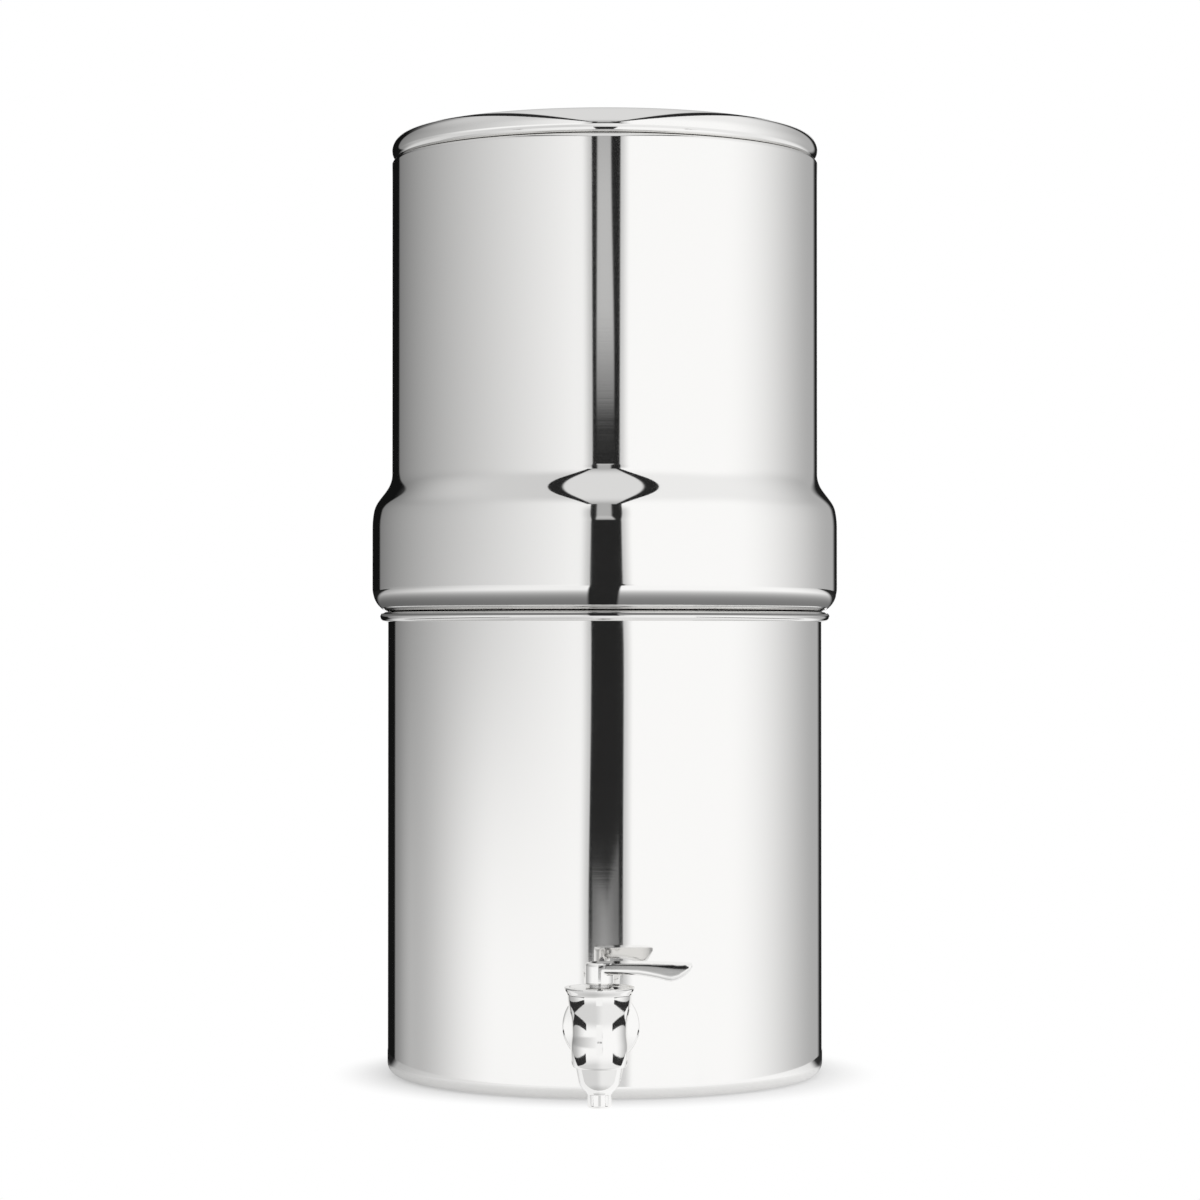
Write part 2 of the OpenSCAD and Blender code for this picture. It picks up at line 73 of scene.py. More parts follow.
# Short ways to add shader nodes. A value is a number or the socket of another node.
def addNode(tree, kind, **settings):
    node = tree.nodes.new(kind)
    for name, value in settings.items():
        setattr(node, name, value)
    return node


def plug(tree, socket, value):
    if isinstance(value, bpy.types.NodeSocket):
        tree.links.new(value, socket)
    elif value is not None:
        socket.default_value = value


def calc(tree, operation, *values):
    node = addNode(tree, "ShaderNodeMath", operation=operation)
    for socket, value in zip(node.inputs, values):
        plug(tree, socket, value)
    return node.outputs[0]


def multiply(tree, result, *others):
    for other in others:
        result = calc(tree, "MULTIPLY", result, other)
    return result


def add(tree, result, *others):
    for other in others:
        result = calc(tree, "ADD", result, other)
    return result


def awayFrom(tree, value, middle):
    return calc(tree, "ABSOLUTE", calc(tree, "SUBTRACT", value, middle))


def ramp(tree, value, fromLow, fromHigh, toLow, toHigh, style="SMOOTHSTEP"):
    node = addNode(tree, "ShaderNodeMapRange", interpolation_type=style)
    for socket, item in zip(node.inputs, (value, fromLow, fromHigh, toLow, toHigh)):
        plug(tree, socket, item)
    return node.outputs["Result"]


def blendValue(tree, factor, low, high):
    node = addNode(tree, "ShaderNodeMix", data_type="FLOAT")
    for socket, item in zip(node.inputs, (factor, None, low, high)):
        plug(tree, socket, item)
    return node.outputs[0]


# Light from each direction. A row of four is a ramp: from, to, value there, value there.
# Places are degrees round from the front, or degrees up.
studio = {
    "rightPanel": (66, 150, 1.1, 0.45),
    "rightFlag": (152, 160, 1, 0.03),           # dark flags stand behind the panels
    "leftPanel": (55, 120, 1.08, 0.52),
    "leftPanelEnd": (120, 146, 1, 0.5),
    "leftPanelHigh": (15, 145, 1.0, 0.22),      # the left panel above the horizon
    "leftHighBegins": (-6, 2, 0, 1),
    "leftFlag": (144, 147, 1, 0.03),
    "backdrop": (168, 171, 0, 1),
    "backdropSeen": (4, 7, 1, 0),               # height at which mirrors lose the backdrop
    "lidLineBegins": (7.5, 8.3, 0, 1),          # dark band behind the lid's edge
    "lidLineEnds": (10.5, 13, 1, 0),
    "lidLineLight": 0.08,
    "overhead": (-0.3, 0.3, 0.70, 0.97),        # from left to right
    "overheadBegins": (20, 55, 0, 1),
    "underfoot": (-0.3, 0.3, 0.75, 0.95),
    "underfootDims": (-80, -35, 0.72, 1),
    "underfootBegins": (-10, -22, 0, 1),

    # the gap between the side panels, measured across at one metre's distance
    "gapMiddle": (-0.2, 1.2, 0.042, 0.029),
    "gapMiddleLow": (-5, -0.2, -0.018, 0),
    "gapHalf": 0.1247,
    "gapWidens": (-0.4, 2.6, 0.0232, 0),
    "gapWidensLow": (-5, -0.4, 0.008, 0),
    "gapWidensHigh": (3, 10, 0, 0.01),
    "gapEdge": (-0.003, 0.003, 1, 0),
    "gapBegins": (-5.5, -5.34, 0, 1),           # the panels meet below this
    "gapEnds": (25.5, 26, 1, 0),
    "besideBegins": (-12, -6, 0, 1),            # the panels are dimmer right beside the gap
    "besideEnds": (14, 24, 1, 0),
    "besideLight": (0, 0.1, 0.62, 1),

    # the room seen through the gap: lit above, dark at eye level, a table's edge below
    "darkLevel": 0.02,
    "roomMiddle": (4.2, 8.3, 0.022, 0.0105),
    "roomHalfLow": 0.1235,
    "roomHalf": (4.2, 8.3, 0.084, 0.066),
    "roomNarrows": (-0.1, 0.1, 0, 1),
    "roomEdge": (-0.012, 0.006, 1, 0),
    "roomLightBegins": (3.75, 4.05, 0.01, 0.28),
    "roomLightGrows": (4.1, 5.6, 0, 0.29),
    "roomLightDims": (7.3, 8.6, 0, 0.1),
    "tableEdge": -4.2,
    "tableEdgeSoft": (-0.05, 0.08, 0, 1),
    "tableCorner": 2.2,
    "tableSlopes": (0.14, -0.04),               # right and left of its corner
    "tableMiddle": 0.01,
    "tableTop": (0, 0.12, 0.31, 0.17),
}


def paintPanels(tree, spec, x, around, above, backdrop):
    right, left = around, multiply(tree, around, -1)
    rightLight = ramp(tree, right, *spec["rightPanel"])
    leftLow = multiply(tree, ramp(tree, left, *spec["leftPanel"]),
                       ramp(tree, left, *spec["leftPanelEnd"]))
    leftHigh = ramp(tree, left, *spec["leftPanelHigh"], style="LINEAR")
    leftLight = blendValue(tree, ramp(tree, above, *spec["leftHighBegins"]), leftLow, leftHigh)
    panels = blendValue(tree, calc(tree, "GREATER_THAN", x, 0), leftLight, rightLight)
    flags = multiply(tree, ramp(tree, left, *spec["leftFlag"]),
                     ramp(tree, right, *spec["rightFlag"]))
    panels = multiply(tree, panels, flags)
    lidLine = multiply(tree, ramp(tree, above, *spec["lidLineBegins"]),
                       ramp(tree, above, *spec["lidLineEnds"]))
    behind = blendValue(tree, lidLine, 1.0, spec["lidLineLight"])
    panels = blendValue(tree, backdrop, panels, behind)
    overhead = ramp(tree, x, *spec["overhead"])
    panels = blendValue(tree, ramp(tree, above, *spec["overheadBegins"]), panels, overhead)
    underfoot = multiply(tree, ramp(tree, x, *spec["underfoot"]),
                         ramp(tree, above, *spec["underfootDims"]))
    return blendValue(tree, ramp(tree, above, *spec["underfootBegins"]), panels, underfoot)


def measureGap(tree, spec, across, front, above):
    middle = add(tree, ramp(tree, above, *spec["gapMiddle"]),
                 ramp(tree, above, *spec["gapMiddleLow"]))
    half = add(tree, ramp(tree, above, *spec["gapWidens"]),
               ramp(tree, above, *spec["gapWidensLow"]), spec["gapHalf"],
               ramp(tree, above, *spec["gapWidensHigh"]))
    past = calc(tree, "SUBTRACT", awayFrom(tree, across, middle), half)
    facing = calc(tree, "GREATER_THAN", front, 0)
    inGap = multiply(tree, ramp(tree, past, *spec["gapEdge"]), facing,
                     ramp(tree, above, *spec["gapEnds"]), ramp(tree, above, *spec["gapBegins"]))
    beside = multiply(tree, ramp(tree, above, *spec["besideEnds"]),
                      ramp(tree, above, *spec["besideBegins"]), facing)
    return inGap, blendValue(tree, beside, 1.0, ramp(tree, past, *spec["besideLight"]))


def paintRoom(tree, spec, across, above):
    half = blendValue(tree, ramp(tree, above, *spec["roomNarrows"]), spec["roomHalfLow"],
                      ramp(tree, above, *spec["roomHalf"]))
    middle = ramp(tree, above, *spec["roomMiddle"])
    past = calc(tree, "SUBTRACT", awayFrom(tree, across, middle), half)
    inside = ramp(tree, past, *spec["roomEdge"])
    roomAbove = add(tree, ramp(tree, above, *spec["roomLightBegins"]),
                    ramp(tree, above, *spec["roomLightGrows"]))
    roomAbove = calc(tree, "SUBTRACT", roomAbove, ramp(tree, above, *spec["roomLightDims"]))
    corner = calc(tree, "SUBTRACT", calc(tree, "DEGREES", across), spec["tableCorner"])
    slopes = [multiply(tree, corner, slope) for slope in spec["tableSlopes"]]
    edge = add(tree, calc(tree, "MAXIMUM", *slopes), spec["tableEdge"])
    depth = calc(tree, "SUBTRACT", edge, above)
    tableTop = ramp(tree, awayFrom(tree, across, spec["tableMiddle"]), *spec["tableTop"])
    roomBelow = multiply(tree, tableTop, ramp(tree, depth, *spec["tableEdgeSoft"]))
    room = blendValue(tree, calc(tree, "GREATER_THAN", above, 0), roomBelow, roomAbove)
    return calc(tree, "MAXIMUM", multiply(tree, room, inside), spec["darkLevel"])


def buildStudio(spec):
    world = bpy.data.worlds.new("studio")
    scene.world = world
    world.use_nodes = True
    tree = world.node_tree
    tree.nodes.clear()
    split = addNode(tree, "ShaderNodeSeparateXYZ")
    plug(tree, split.inputs[0], addNode(tree, "ShaderNodeTexCoord").outputs["Generated"])
    x, y, z = split.outputs
    front = multiply(tree, y, -1)
    around = calc(tree, "DEGREES", calc(tree, "ARCTAN2", x, front))
    above = calc(tree, "DEGREES", calc(tree, "ARCSINE", z))
    across = calc(tree, "DIVIDE", x, calc(tree, "MAXIMUM", front, 0.0001))   # never by zero

    backdrop = ramp(tree, calc(tree, "ABSOLUTE", around), *spec["backdrop"])
    panels = paintPanels(tree, spec, x, around, above, backdrop)
    inGap, beside = measureGap(tree, spec, across, front, above)
    panels = multiply(tree, panels, beside)
    light = blendValue(tree, inGap, panels, paintRoom(tree, spec, across, above))

    shade = addNode(tree, "ShaderNodeBackground")
    shade.inputs["Color"].default_value = (1, 1, 1, 1)
    plug(tree, shade.inputs["Strength"], light)
    white = addNode(tree, "ShaderNodeBackground")
    white.inputs["Color"].default_value = (1, 1, 1, 1)
    path = addNode(tree, "ShaderNodeLightPath")
    mirrored = calc(tree, "MAXIMUM", path.outputs["Is Glossy Ray"],
                    path.outputs["Is Transmission Ray"])
    behind = multiply(tree, backdrop,
                      ramp(tree, calc(tree, "ABSOLUTE", above), *spec["backdropSeen"]))
    pick = addNode(tree, "ShaderNodeMixShader")
    plug(tree, pick.inputs[0], calc(tree, "MAXIMUM", path.outputs["Is Camera Ray"],
                                    multiply(tree, mirrored, behind)))
    plug(tree, pick.inputs[1], shade.outputs[0])
    plug(tree, pick.inputs[2], white.outputs[0])
    output = addNode(tree, "ShaderNodeOutputWorld")
    plug(tree, output.inputs["Surface"], pick.outputs[0])


# Reflector cards are only seen in reflections.
def glowMaterial(name, paint):
    material = bpy.data.materials.new(name)
    material.use_nodes = True
    tree = material.node_tree
    tree.nodes.clear()
    split = addNode(tree, "ShaderNodeSeparateXYZ")
    plug(tree, split.inputs[0], addNode(tree, "ShaderNodeTexCoord").outputs["Object"])
    glow = addNode(tree, "ShaderNodeEmission")
    plug(tree, glow.inputs["Strength"], paint(tree, *split.outputs))
    output = addNode(tree, "ShaderNodeOutputMaterial")
    plug(tree, output.inputs["Surface"], glow.outputs[0])
    material.cycles.emission_sampling = "NONE"
    return material


def addCard(name, bm, paint):
    mesh = bpy.data.meshes.new(name)
    bm.to_mesh(mesh)
    bm.free()
    card = bpy.data.objects.new(name, mesh)
    scene.collection.objects.link(card)
    card.visible_camera = card.visible_diffuse = card.visible_shadow = False
    mesh.materials.append(glowMaterial(name, paint))


def rectangle(*corners):
    bm = bmesh.new()
    bmesh.ops.create_grid(bm, x_segments=1, y_segments=1, size=1)
    for vert, corner in zip(bm.verts, corners):
        vert.co = corner
    return bm


# a long bright card over the vessel, with a dark border
roofSlot = {
    "height": 0.62, "front": -0.9, "back": 0.9,
    "middle": -0.003, "lean": -0.0139, "half": 0.129,
    "border": 0.034, "edge": (-0.006, 0.003), "borderLight": 0.02,
    "light": (-0.1, 0.5, 0.8, 0.35),
    "frontShare": (-0.9, -0.35, 0.6, 1),
}


def addRoofSlot(spec):
    def paint(tree, x, y, z):
        middle = add(tree, multiply(tree, y, spec["lean"]), spec["middle"])
        inner = spec["half"] - spec["border"]
        inside = ramp(tree, awayFrom(tree, x, middle), inner + spec["edge"][0],
                      inner + spec["edge"][1], 1, 0)
        light = multiply(tree, ramp(tree, y, *spec["light"]), ramp(tree, y, *spec["frontShare"]))
        return calc(tree, "MAXIMUM", multiply(tree, inside, light), spec["borderLight"])
    corners = []
    for y in (spec["front"], spec["back"]):
        middle = spec["middle"] + spec["lean"] * y
        corners += [(middle - spec["half"], y, spec["height"]),
                    (middle + spec["half"], y, spec["height"])]
    addCard("roofSlot", rectangle(*corners), paint)


# painted light: brightness of the side panels by how far round a point lies, painted into the
# glow of the collar and the floor
paintedSideLight = {
    "left": (-15, -130, 1.0, 0.32),
    "right": (60, 145, 1.08, 0.4),
    "backSlope": -0.6, "backPlace": 0.066,
    "back": (-0.01, 0.02, 1, 0.04),             # painted shade behind the vessel
}


# paints the side panels' light, with painted shade behind the vessel, as a glow strength
def paintSideLight(tree, x, y, spec=paintedSideLight):
    around = calc(tree, "DEGREES", calc(tree, "ARCTAN2", x, multiply(tree, y, -1)))
    tone = blendValue(tree, calc(tree, "GREATER_THAN", x, 0),
                      ramp(tree, around, *spec["left"]), ramp(tree, around, *spec["right"]))
    aside = calc(tree, "MULTIPLY_ADD", calc(tree, "ABSOLUTE", x), spec["backSlope"],
                 spec["backPlace"])
    return multiply(tree, tone, ramp(tree, add(tree, y, aside), *spec["back"]))


# a flat glowing ring round the vessel at the joint of the chambers, seen only in reflections:
# painted side-panel light, painted shade darkening towards the vessel, and a painted dark strip
# in front
collar = {
    "height": 0.229, "inner": 0.112, "outer": 0.36, "segments": 128,
    "inside": 0.2, "even": 0.148,     # painted shade: share of light at the inner edge, and where it is full
    "gapFrom": 0.118, "gapMiddle": 0.001, "gapLean": 0.03,
    "gapHalf": 0.0078, "gapSpread": 0.13,
    "gapEdge": (-0.001, 0.001, 1, 0), "gapLight": 0.02,
}


def addCollar(spec):
    def paint(tree, x, y, z):
        reach = calc(tree, "SQRT", add(tree, multiply(tree, x, x), multiply(tree, y, y)))
        # painted side-panel light, dimmed by painted shade towards the vessel
        light = multiply(tree, paintSideLight(tree, x, y),
                         ramp(tree, reach, spec["inner"], spec["even"], spec["inside"], 1))
        # a painted dark strip in front, a painted reflection of the gap between the panels
        out = calc(tree, "SUBTRACT", reach, spec["gapFrom"])
        middle = calc(tree, "MULTIPLY_ADD", out, spec["gapLean"], spec["gapMiddle"])
        half = calc(tree, "MULTIPLY_ADD", out, spec["gapSpread"], spec["gapHalf"])
        past = calc(tree, "SUBTRACT", awayFrom(tree, x, middle), half)
        inGap = multiply(tree, ramp(tree, past, *spec["gapEdge"]),
                         calc(tree, "LESS_THAN", y, 0))
        return blendValue(tree, inGap, light, spec["gapLight"])
    bm = bmesh.new()
    bmesh.ops.create_circle(bm, radius=spec["inner"], segments=spec["segments"])
    made = bmesh.ops.extrude_edge_only(bm, edges=bm.edges[:])["geom"]
    rim = [item for item in made if isinstance(item, bmesh.types.BMVert)]
    grow = spec["outer"] / spec["inner"]
    bmesh.ops.scale(bm, verts=rim, vec=(grow, grow, 1))
    bmesh.ops.translate(bm, verts=bm.verts, vec=(0, 0, spec["height"]))
    addCard("collar", bm, paint)


# a small bright card in front of the tap
tapFill = {"half": 0.022, "front": -0.262, "low": 0.008, "high": 0.05, "light": 1.05}


def addTapFill(spec):
    corners = [(x, spec["front"], z) for z in (spec["low"], spec["high"])
               for x in (-spec["half"], spec["half"])]
    addCard("tapFill", rectangle(*corners), lambda tree, x, y, z: spec["light"])


# dark strips on both sides, below the vessel's base
tableGap = {"side": 0.6, "low": -0.186, "high": -0.092, "front": -0.56, "back": 0.5,
            "light": 0.03}


def addTableGap(spec):
    for name, side in (("tableGapLeft", -spec["side"]), ("tableGapRight", spec["side"])):
        corners = [(side, y, z) for y in (spec["front"], spec["back"])
                   for z in (spec["low"], spec["high"])]
        addCard(name, rectangle(*corners), lambda tree, x, y, z: spec["light"])


floorDisc = {
    "radius": 0.156, "segments": 128, "below": 0.0004,
    "color": (0.88, 0.88, 0.88, 1),
    "fade": (0.098, 0.138, 0.35, 1),  # outwards from the base it turns into a glow: plain white to the camera, painted side-panel light in reflections
}


def addFloor(spec):
    bm = bmesh.new()
    bmesh.ops.create_circle(bm, cap_ends=True, radius=spec["radius"], segments=spec["segments"])
    bmesh.ops.translate(bm, verts=bm.verts, vec=(0, 0, -spec["below"]))
    mesh = bpy.data.meshes.new("floor")
    bm.to_mesh(mesh)
    bm.free()
    floor = bpy.data.objects.new("floor", mesh)
    scene.collection.objects.link(floor)

    material = bpy.data.materials.new("paleFloor")
    material.use_nodes = True
    tree = material.node_tree
    tree.nodes.clear()
    place = addNode(tree, "ShaderNodeTexCoord").outputs["Object"]
    reach = addNode(tree, "ShaderNodeVectorMath", operation="LENGTH")
    plug(tree, reach.inputs[0], place)
    matte = addNode(tree, "ShaderNodeBsdfDiffuse")
    matte.inputs["Color"].default_value = spec["color"]
    path = addNode(tree, "ShaderNodeLightPath")
    mirrored = calc(tree, "MAXIMUM", path.outputs["Is Glossy Ray"],
                    path.outputs["Is Transmission Ray"])
    seen = calc(tree, "MAXIMUM", path.outputs["Is Camera Ray"], mirrored)
    split = addNode(tree, "ShaderNodeSeparateXYZ")
    plug(tree, split.inputs[0], place)
    # In reflections the floor glows with painted side-panel light and painted shade behind the
    # vessel; to the camera it glows plain white.
    glow = addNode(tree, "ShaderNodeEmission")
    plug(tree, glow.inputs["Strength"], blendValue(tree, path.outputs["Is Camera Ray"],
                                                   paintSideLight(tree, *split.outputs[:2]), 1.0))
    mix = addNode(tree, "ShaderNodeMixShader")
    plug(tree, mix.inputs[0], multiply(tree, seen, ramp(tree, reach.outputs["Value"],
                                                        *spec["fade"])))
    plug(tree, mix.inputs[1], matte.outputs[0])
    plug(tree, mix.inputs[2], glow.outputs[0])
    output = addNode(tree, "ShaderNodeOutputMaterial")
    plug(tree, output.inputs["Surface"], mix.outputs[0])
    mesh.materials.append(material)


scene.view_settings.view_transform = "Standard"
addCamera(cameraView)
buildStudio(studio)
addFloor(floorDisc)
addRoofSlot(roofSlot)
addCollar(collar)
addTapFill(tapFill)
addTableGap(tableGap)
print("camera, studio and floor made")


def newGroup(name, inputs, outputs):
    group = bpy.data.node_groups.new(name, "ShaderNodeTree")
    for label, kind, value in inputs:
        socket = group.interface.new_socket(label, in_out="INPUT", socket_type=kind)
        if value is not None:
            socket.default_value = value
    for label, kind in outputs:
        group.interface.new_socket(label, in_out="OUTPUT", socket_type=kind)
    return group, group.nodes.new("NodeGroupInput"), group.nodes.new("NodeGroupOutput")


def noise(tree, vector, scale, detail, roughness):
    node = addNode(tree, "ShaderNodeTexNoise")
    plug(tree, node.inputs["Vector"], vector)
    plug(tree, node.inputs["Scale"], scale)
    plug(tree, node.inputs["Detail"], detail)
    plug(tree, node.inputs["Roughness"], roughness)
    return node.outputs[0]


def stretched(tree, vector, scale):
    node = addNode(tree, "ShaderNodeMapping")
    plug(tree, node.inputs["Vector"], vector)
    node.inputs["Scale"].default_value = scale
    return node.outputs[0]


# Faint lines left by polishing or turning round the piece, and soft patches of haze.
# A noise is scale, detail and roughness.
polishing = {
    "stretch": (6, 6, 1400),
    "lines": (1, 3, 0.6),
    "haze": (18, 3, 0.55),
    "smoothest": 0.01,
    "bumpDepth": 0.00001,
}


def buildPolishGroup(spec):
    group, given, made = newGroup(
        "polishMarks",
        [("Vector", "NodeSocketVector", None), ("Roughness", "NodeSocketFloat", 0.05),
         ("Lines", "NodeSocketFloat", 0.02), ("Haze", "NodeSocketFloat", 0.02)],
        [("Roughness", "NodeSocketFloat"), ("Height", "NodeSocketFloat")])
    place = given.outputs["Vector"]
    lines = noise(group, stretched(group, place, spec["stretch"]), *spec["lines"])
    haze = noise(group, place, *spec["haze"])
    lineShare = multiply(group, calc(group, "SUBTRACT", lines, 0.5), given.outputs["Lines"])
    hazeShare = multiply(group, calc(group, "SUBTRACT", haze, 0.5), given.outputs["Haze"])
    rough = add(group, given.outputs["Roughness"], add(group, lineShare, hazeShare))
    plug(group, made.inputs["Roughness"], calc(group, "MAXIMUM", rough, spec["smoothest"]))
    plug(group, made.inputs["Height"], lines)
    return group


polishMarks = buildPolishGroup(polishing)


def startMaterial(name, color, metallic=0.0):
    material = bpy.data.materials.new(name)
    material.use_nodes = True
    tree = material.node_tree
    shader = tree.nodes["Principled BSDF"]
    shader.inputs["Base Color"].default_value = (*color, 1)
    shader.inputs["Metallic"].default_value = metallic
    place = addNode(tree, "ShaderNodeTexCoord").outputs["Object"]
    return material, tree, shader, place


def addBump(tree, shader, height, strength, distance):
    bump = addNode(tree, "ShaderNodeBump")
    bump.inputs["Strength"].default_value = strength
    bump.inputs["Distance"].default_value = distance
    plug(tree, bump.inputs["Height"], height)
    plug(tree, shader.inputs["Normal"], bump.outputs[0])


def steelMaterial(name, color, roughness, lines, haze, bump):
    material, tree, shader, place = startMaterial(name, color, 1.0)
    marks = addNode(tree, "ShaderNodeGroup", node_tree=polishMarks)
    plug(tree, marks.inputs["Vector"], place)
    for label, value in (("Roughness", roughness), ("Lines", lines), ("Haze", haze)):
        marks.inputs[label].default_value = value
    plug(tree, shader.inputs["Roughness"], marks.outputs["Roughness"])
    addBump(tree, shader, marks.outputs["Height"], bump, polishing["bumpDepth"])
    return material


# pressed carbon, moulded plastic and rubber
graining = {
    "grain": (4, 0.65),               # detail and roughness of the noise
    "patches": (3, 0.5),
    "patchSize": 30,                  # patches are this many times larger than the grain
    "colorRange": (0.75, 1.25, 0, 1),
    "roughRange": (0.3, 0.7),
    "roughSpread": 0.08,
}


def grainMaterial(name, dark, light, roughness, scale, bump, depth):
    spec = graining
    material, tree, shader, place = startMaterial(name, light)
    grain = noise(tree, place, scale, *spec["grain"])
    patches = noise(tree, place, scale / spec["patchSize"], *spec["patches"])
    mix = addNode(tree, "ShaderNodeMix", data_type="RGBA")
    plug(tree, mix.inputs["Factor"], ramp(tree, add(tree, grain, patches), *spec["colorRange"]))
    for socket, color in ((mix.inputs[6], dark), (mix.inputs[7], light)):
        socket.default_value = (*color, 1)
    plug(tree, shader.inputs["Base Color"], mix.outputs[2])
    rough = ramp(tree, patches, *spec["roughRange"], roughness - spec["roughSpread"],
                 roughness + spec["roughSpread"])
    plug(tree, shader.inputs["Roughness"], rough)
    addBump(tree, shader, grain, bump, depth)
    return material


steels = {
    "polished_steel": {"name": "polishedSteel", "color": (0.86, 0.855, 0.845),
                       "roughness": 0.05, "lines": 0.03, "haze": 0.03, "bump": 0.1},
    "tap_steel": {"name": "tapSteel", "color": (0.86, 0.855, 0.845),
                  "roughness": 0.06, "lines": 0.04, "haze": 0.04, "bump": 0.1},
    "plain_steel": {"name": "plainSteel", "color": (0.72, 0.715, 0.71),
                    "roughness": 0.28, "lines": 0.18, "haze": 0.1, "bump": 0.5},
    "dark_steel": {"name": "darkSteel", "color": (0.30, 0.30, 0.31),
                   "roughness": 0.38, "lines": 0.2, "haze": 0.15, "bump": 0.5},
}
grained = {
    "carbon_block": {"name": "carbonBlock", "dark": (0.016, 0.016, 0.017),
                     "light": (0.05, 0.05, 0.052), "roughness": 0.82, "scale": 1500,
                     "bump": 0.6, "depth": 0.0003},
    "black_plastic": {"name": "blackPlastic", "dark": (0.03, 0.03, 0.032),
                      "light": (0.05, 0.05, 0.053), "roughness": 0.42, "scale": 3000,
                      "bump": 0.2, "depth": 0.00006},
    "seal_rubber": {"name": "sealRubber", "dark": (0.06, 0.06, 0.063),
                    "light": (0.10, 0.10, 0.105), "roughness": 0.7, "scale": 2500,
                    "bump": 0.25, "depth": 0.00008},
}
materials = {slot: steelMaterial(**look) for slot, look in steels.items()}
materials.update((slot, grainMaterial(**look)) for slot, look in grained.items())
slotOf = {row["node"]: row["material_slot"] for row in frame["record"]["subparts"]}
bodyOf = {node: body for body, names in frame["record"]["behaviour"]["bodies"].items()
          for node in names}
print("materials made:", ", ".join(sorted(m.name for m in materials.values())))


# The pen draws one side of a piece, radius along x and height along z.
# Moves: ("start", r, z), ("line", r, z, cuts), ("arc", centre r, centre z, degrees) and
# ("bend", handle, handle, end) for a free curve. A long line gets a point close to each end,
# which keeps the shading of flat parts flat.
drawing = {"bendPoints": 16, "supportFrom": 4, "mergeWithin": 0.002}


def drawProfile(bm, moves, step, support):
    pen = None
    for kind, *values in moves:
        if kind == "start":
            pen = bmesh.ops.create_vert(bm, co=(values[0], 0, values[1]))["vert"][0]
        elif kind == "line":
            start, end = pen.co.copy(), Vector((values[0], 0, values[1]))
            cuts = values[2] if len(values) > 2 else 1
            length = (end - start).length
            shares = [n / cuts for n in range(1, cuts + 1)]
            if length > drawing["supportFrom"] * support:
                shares = [support / length] + shares[:-1] + [1 - support / length, 1]
            for share in shares:
                pen = bmesh.ops.extrude_vert_indiv(bm, verts=[pen])["verts"][0]
                pen.co = start.lerp(end, share)
        elif kind == "arc":
            pen = bmesh.ops.spin(bm, geom=[pen], cent=(values[0], 0, values[1]), axis=(0, -1, 0),
                                 angle=math.radians(values[2]),
                                 steps=max(2, round(abs(values[2]) / step)))["geom_last"][0]
        elif kind == "bend":
            handles = [Vector((r, 0, z)) for r, z in values]
            for point in interpolate_bezier(pen.co, *handles, drawing["bendPoints"])[1:]:
                pen = bmesh.ops.extrude_vert_indiv(bm, verts=[pen])["verts"][0]
                pen.co = point


def turnProfile(moves, segments=256, step=3.0, support=0.4):
    bm = bmesh.new()
    drawProfile(bm, moves, step, support)
    bmesh.ops.spin(bm, geom=bm.verts[:] + bm.edges[:], cent=(0, 0, 0), axis=(0, 0, 1),
                   angle=2 * math.pi, steps=segments, use_merge=True)
    bmesh.ops.remove_doubles(bm, verts=bm.verts, dist=drawing["mergeWithin"])
    bmesh.ops.recalc_face_normals(bm, faces=bm.faces)
    return bm


def makePiece(bm, name, place=None):
    if place is not None:
        bmesh.ops.transform(bm, matrix=place, verts=bm.verts)
    bmesh.ops.scale(bm, verts=bm.verts, vec=(mm, mm, mm))
    mesh = bpy.data.meshes.new(name)
    bm.to_mesh(mesh)
    bm.free()
    piece = bpy.data.objects.new(name, mesh)
    scene.collection.objects.link(piece)
    return piece


def finishPiece(piece, node, sharpAngle=32):
    piece.data.shade_smooth()
    piece.data.set_sharp_from_angle(angle=math.radians(sharpAngle))
    piece.data.materials.clear()
    piece.data.materials.append(materials[slotOf[node]])
    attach(piece, bodyOf[node])
    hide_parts(node)
    print("made", piece.name, len(piece.data.polygons), "faces")


def applyModifiers(piece):
    result = bpy.data.meshes.new_from_object(
        piece.evaluated_get(bpy.context.evaluated_depsgraph_get()))
    piece.modifiers.clear()
    piece.data = result


def combine(piece, other, operation):
    modifier = piece.modifiers.new("combine", "BOOLEAN")
    modifier.object, modifier.operation, modifier.solver = other, operation, "MANIFOLD"
    applyModifiers(piece)
    bpy.data.objects.remove(other)


def drill(piece, radius, low, high, place, segments=96):
    bm = bmesh.new()
    bmesh.ops.create_cone(bm, cap_ends=True, radius1=radius, radius2=radius,
                          depth=high - low, segments=segments)
    bmesh.ops.translate(bm, verts=bm.verts, vec=(0, 0, (low + high) / 2))
    combine(piece, makePiece(bm, "cutter", place), "DIFFERENCE")


def at(x, y, z):
    return Matrix.Translation((x, y, z))


def onArc(centre, radius, degrees):
    turn = math.radians(degrees)
    return centre[0] + radius * math.cos(turn), centre[1] + radius * math.sin(turn)


alongY = Matrix.Rotation(math.radians(-90), 4, "X")   # turns a piece's own Z to +Y
tapHeight, tapFront = 35, -148
tapPlace = at(0, tapFront, tapHeight)

# In each dictionary, a hole is its radius and its two ends along its own axis.
lowerChamber = {
    "profile": [
        ("start", 0, 3), ("line", 85, 3), ("line", 88, 0), ("line", 102, 0),
        ("arc", 102, 6, 90), ("line", 108, 20), ("line", 108, 50, 12), ("line", 108, 226.3),
        ("arc", 109.4, 226.3, -280), ("line", *onArc((109.4, 226.3), 2.4, -100)),
        ("arc", 109.4, 226.3, 280), ("line", 107, 50), ("line", 107, 20, 12),
        ("line", 107, 6), ("arc", 102, 6, -90), ("line", 88.414, 1), ("line", 85.414, 4),
        ("line", 0, 4),
    ],
    "shankHole": (8.5, -120, -90),
}


